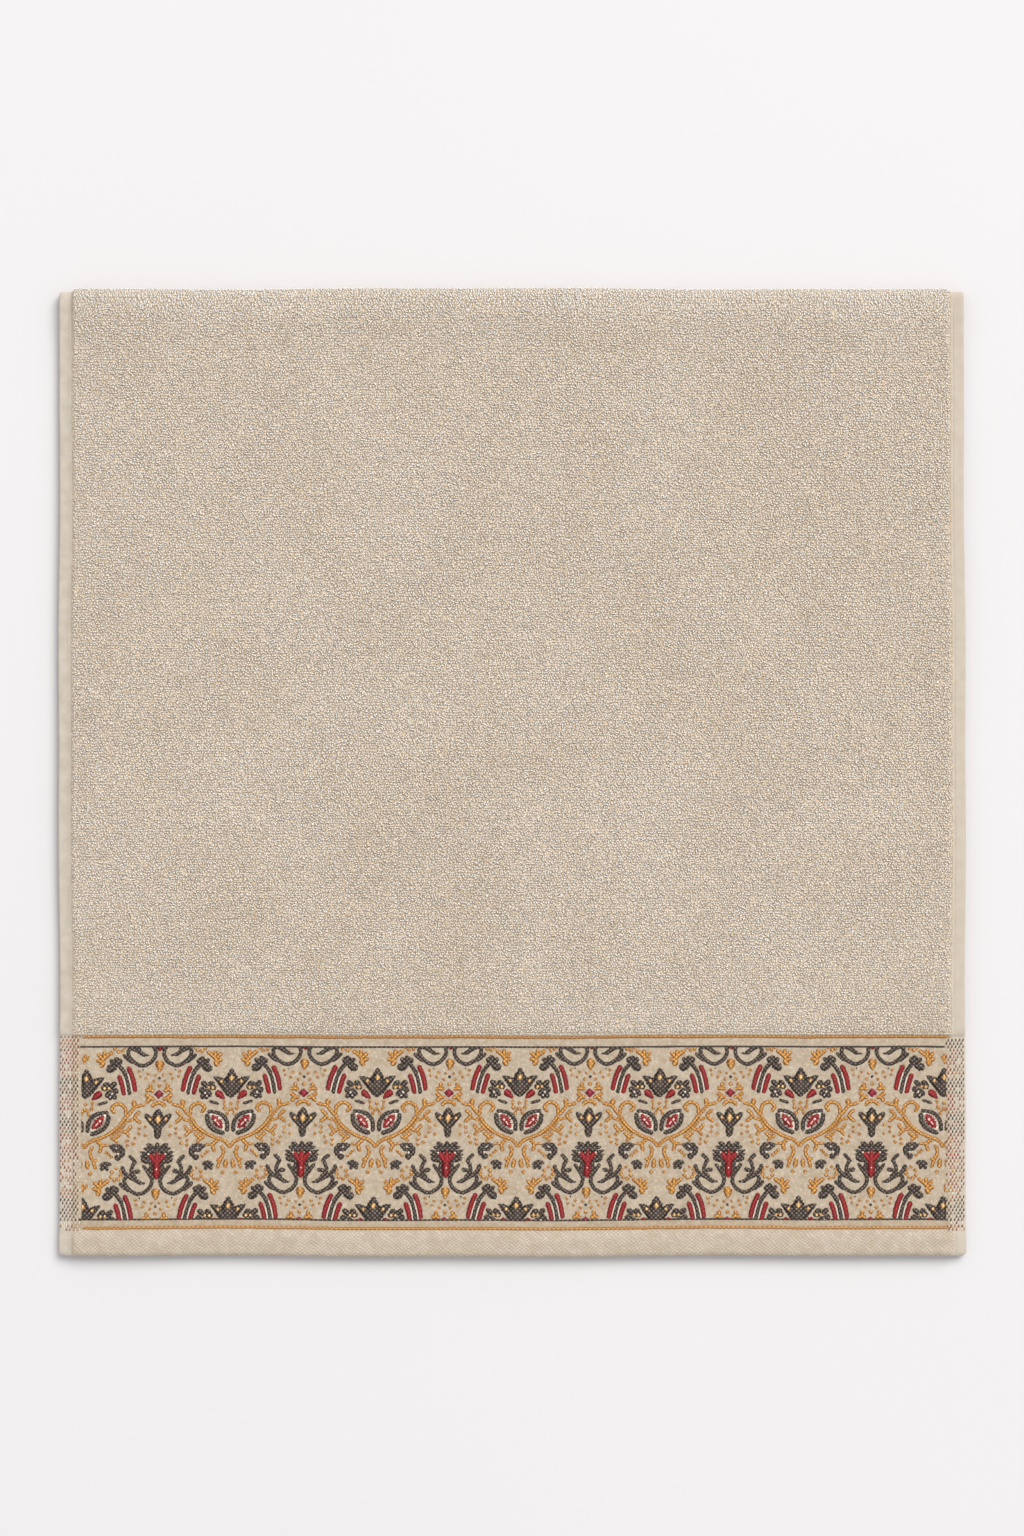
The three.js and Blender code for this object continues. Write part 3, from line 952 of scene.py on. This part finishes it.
def woven_pattern():
    """The chart, mirrored about both axes and repeated over the zone."""
    chance = np.random.default_rng(9)
    strokes = {yarn: Strokes() for yarn in YARN_RISE}
    for yarn, form, width, *points in CHART:
        if form == "dot":
            x, y = points[0]
            points = [(x, y + width * 0.55), (x, y), (x, y - width * 0.55)]
        line = smooth_line(points, STITCH)
        widths = form_widths("line" if form == "dot" else form, line, width * FORM_WIDER.get(form, 1))
        for copy in repeats(line):
            copy += drift(copy)
            copy += chance.normal(0, 0.07, copy.shape)
            beads = 1 + 0.14 * (-1.0) ** np.arange(len(copy)) + chance.normal(0, 0.04, len(copy))
            for run, run_widths in inside_runs(copy, widths * beads):
                strokes[yarn].add(run, run_widths)
    for width, *points in END_LEAVES:
        line = smooth_line(points, STITCH) + (0, LOWER_DARK_LINE)
        strokes["gold"].add(line, form_widths("petal", line, width))
    return [
        strokes[yarn].piece("border_pattern_" + yarn, yarn, height, ZONE, foot)
        for yarn, (height, foot) in YARN_RISE.items()
    ]


def border_lines():
    """The gold and dark lines over the whole width of the border."""
    chance = np.random.default_rng(14)
    gold = Strokes()
    for line_up in (LOWER_GOLD_LINE, UPPER_GOLD_LINE):
        x = np.arange(*GOLD_LINE_SPAN, STITCH)
        y = line_up + 0.16 * soft_noise(x, x * 0, 7, int(line_up)) + 0.12 * soft_noise(x, x * 0, 23, 4)
        width = GOLD_LINE_WIDTH + 0.22 * (-1.0) ** np.arange(len(x)) + chance.normal(0, 0.14, len(x))
        gold.add(np.stack([x, y], axis=1), width * smooth(GOLD_LINE_SPAN[1] + 0.3 - x, 0, 4))
    dark = Strokes()
    for line_up in (LOWER_DARK_LINE, UPPER_DARK_LINE):
        x = np.arange(*DARK_LINE_SPAN, 2.0)
        y = line_up + 0.15 + 0.06 * soft_noise(x, x * 0, 9, 6)
        dark.add(np.stack([x, y], axis=1), DARK_LINE_WIDTH + 0.12 * soft_noise(x, x * 0, 4, 3))
    zone = ((9, 493), (LOWER_GOLD_LINE - 3, UPPER_GOLD_LINE + 3))
    return [
        gold.piece("border_gold_lines", "gold", GOLD_LINE_RISE, zone),
        dark.piece("border_dark_lines", "charcoal", DARK_LINE_RISE, zone),
    ]


# Where the border's yarns are tied down in the side hems, above the lower dark line.
# Each row: side, from, up to, and the share of ticks in rust, charcoal, gold and red
TIED_BANDS = (
    ("both", -6, -1, (0.3, 0, 0.45, 0.1)),
    ("both", -1, 0, (0.2, 0.2, 0, 0)),
    ("both", 0, 12, (0.08, 0.85, 0, 0)),
    ("both", 12, 35, (0.6, 0, 0.15, 0.02)),
    ("both", 35, 37, (0.4, 0, 0, 0.5)),
    ("both", 37, 47, (0.72, 0, 0.1, 0.05)),
    ("both", 47, 48.8, (0.3, 0, 0, 0.6)),
    ("both", 48.8, 58.8, (0.05, 0.9, 0, 0)),
    ("both", 58.8, 66.5, (0.6, 0.05, 0, 0.05)),
    ("both", 66.5, 69.5, (0.4, 0, 0, 0.5)),
    ("both", 69.5, 80, (0.1, 0.85, 0, 0)),
    ("both", 80, 95.5, (0.7, 0.08, 0.05, 0.05)),
    ("left", 95.5, 102, (0.75, 0, 0.12, 0.1)),
    ("right", 95.5, 101, (0.15, 0.8, 0, 0)),
)
TICK_STARTS = {"left": 1.0, "right": 489.4}
TICK_SPAN = 10.2
TICK_PITCH = 2.1
TICK_ROW = 1.8

# The side hems' own stitches
HEM_STITCH_IN = 5.6
HEM_STITCH_PITCH = 2.3


def tick_places(chance):
    """Where the ticks of each yarn are, in staggered rows with cream ticks between them."""
    found = {yarn: [] for yarn in ("rust", "charcoal", "gold", "red", "cream")}
    for side, low, high, shares in TIED_BANDS:
        starts = [first for name, first in TICK_STARTS.items() if side in ("both", name)]
        for row in np.arange(round(low / TICK_ROW), round(high / TICK_ROW)):
            for first in starts:
                for column in first + np.arange(0, TICK_SPAN, TICK_PITCH) + (row % 2) * TICK_PITCH / 2:
                    yarn = chance.choice((*found, "none"), p=(*shares, 0, 1 - sum(shares)))
                    if yarn != "none":
                        found[str(yarn)].append((column, LOWER_DARK_LINE + row * TICK_ROW))
                    found["cream"].append((column + TICK_PITCH / 2, LOWER_DARK_LINE + row * TICK_ROW))
    return found


def tied_down_yarns():
    """The ticks of the border's yarns in both side hems, one piece for each yarn."""
    chance = np.random.default_rng(31)
    pieces = []
    rows = (LOWER_DARK_LINE - 10, UPPER_DARK_LINE + 12)
    for yarn, places in tick_places(chance).items():
        across, along = np.array(places).T
        keep = across < WIDTH - 0.8
        across, along = across[keep], along[keep]
        count = len(across)
        across = across + chance.uniform(-0.07, 0.07, count)
        size = (chance.uniform(1.7, 2.0, count), chance.uniform(0.95, 1.1, count), np.full(count, 0.5))
        turn = math.pi * 0.42 + chance.normal(0, 0.12, count)
        flat = np.zeros(count)
        shape = (flat, flat, flat + 0.08, chance.uniform(0, 1, count))
        pieces.append(lay_grains("side_hem_ticks_" + yarn, yarn, across, along, turn, size, *shape, rows))
    return pieces


def hem_stitches():
    """A row of small stitches along each side hem of the upper layer."""
    chance = np.random.default_rng(44)
    column = np.arange(3, FLAT - 2, HEM_STITCH_PITCH)
    across = np.repeat([HEM_STITCH_IN, WIDTH - HEM_STITCH_IN], len(column))
    along = np.tile(column, 2)
    keep = (along < LOWER_GOLD_LINE - 1) | (along > UPPER_GOLD_LINE + 2)
    across, along = across[keep], along[keep]
    count = len(along)
    size = (np.full(count, 1.9), np.full(count, 0.5), np.full(count, 0.35))
    turn = math.pi / 2 + chance.normal(0, 0.08, count)
    flat = np.zeros(count)
    shape = (flat, flat, flat + 0.02, chance.uniform(0, 1, count))
    across = across + chance.normal(0, 0.06, count)
    return lay_grains("side_hem_stitches", "thread", across, along, turn, size, *shape, (0, FLAT + 2))


cloth = ground_cloth()
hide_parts("towel_cloth")
extras = [*terry_loops(), *woven_pattern(), *border_lines(), *tied_down_yarns(), hem_stitches()]


# The pale floor, the light and the camera, in metres
FLOOR_HALF_WIDTH = 6
FLOOR_GAP = 0.0003


def pale_floor():
    """A flat floor just under the towel."""
    floor = bmesh.new()
    bmesh.ops.create_grid(floor, x_segments=8, y_segments=8, size=FLOOR_HALF_WIDTH)
    mesh = bpy.data.meshes.new("floor")
    floor.to_mesh(mesh)
    floor.free()
    look = Look("pale floor")
    look.paint(look.mix(look.noise(0.4, 3.0), colour(219, 217, 218), colour(222, 220, 221)))
    mesh.materials.append(look.material)
    piece = bpy.data.objects.new("floor", mesh)
    piece.location = (0, 0, -FLOOR_GAP)
    bpy.context.scene.collection.objects.link(piece)


def soft_light(name, place, size, power, tint):
    """A round light that faces the towel."""
    lamp = bpy.data.lights.new(name, "AREA")
    lamp.shape = "DISK"
    lamp.size = size
    lamp.energy = power
    lamp.color = tint
    holder = bpy.data.objects.new(name, lamp)
    holder.location = place
    holder.rotation_euler = (-holder.location).to_track_quat("-Z", "Y").to_euler()
    bpy.context.scene.collection.objects.link(holder)


def pale_room(tint, strength):
    """Even light from all around, and plain colours."""
    world = bpy.data.worlds.new("room")
    world.use_nodes = True
    background = world.node_tree.nodes["Background"]
    background.inputs["Color"].default_value = tint
    background.inputs["Strength"].default_value = strength
    bpy.context.scene.world = world
    bpy.context.scene.view_settings.view_transform = "Standard"


def camera_above(place, length):
    """The photo's view, straight down on the towel. length is the lens's, in millimetres."""
    lens = bpy.data.cameras.new("camera")
    lens.lens = length
    lens.sensor_width = 36
    lens.clip_end = 20
    camera = bpy.data.objects.new("camera", lens)
    camera.location = place
    bpy.context.scene.collection.objects.link(camera)
    bpy.context.scene.camera = camera


pale_floor()
soft_light("light_upper_right", place=(4.4, 6.5, 9.0), size=8.5, power=1234, tint=(1.0, 0.985, 0.96))
pale_room(tint=(0.98, 0.985, 1.0, 1), strength=0.69)
camera_above(place=(0.0, 0.0023, 2.359), length=100)
